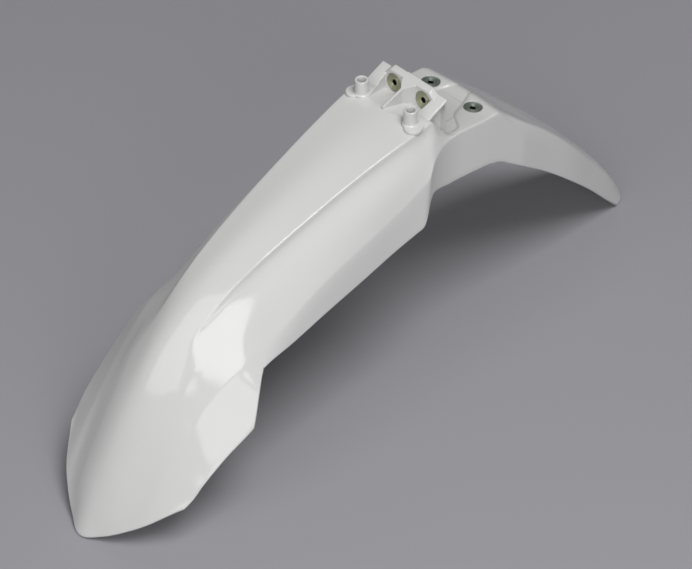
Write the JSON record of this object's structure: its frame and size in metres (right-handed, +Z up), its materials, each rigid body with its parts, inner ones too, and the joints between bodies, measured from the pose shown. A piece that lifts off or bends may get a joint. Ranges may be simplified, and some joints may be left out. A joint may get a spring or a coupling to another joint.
{
  "type": "motorcycle front mudguard",
  "caption": "White moulded front mudguard for an off-road motorcycle, with a raised deck, flared nose, fork leg recesses and a hollow bolting block with steel bushes.",
  "frame": {"origin": "midway between the two rear bolt holes, on the face that their flanged bushes lie flush with", "axes": "+X towards the nose, +Y to the left side as seen by the rider, +Z up; the rear bolts lean back by the rake of 7.5 degrees"},
  "size_m": [0.822, 0.204, 0.333],
  "materials": {
    "shell_plastic": "gloss",
    "grey_steel": "satin",
    "yellow_zinc": "satin"
  },
  "bodies": {
    "root": {"mudguard_shell": "shell_plastic", "bush_rear_left": "grey_steel", "bush_rear_right": "grey_steel", "bush_front_left": "yellow_zinc", "bush_front_right": "yellow_zinc"}
  },
  "joints": []
}
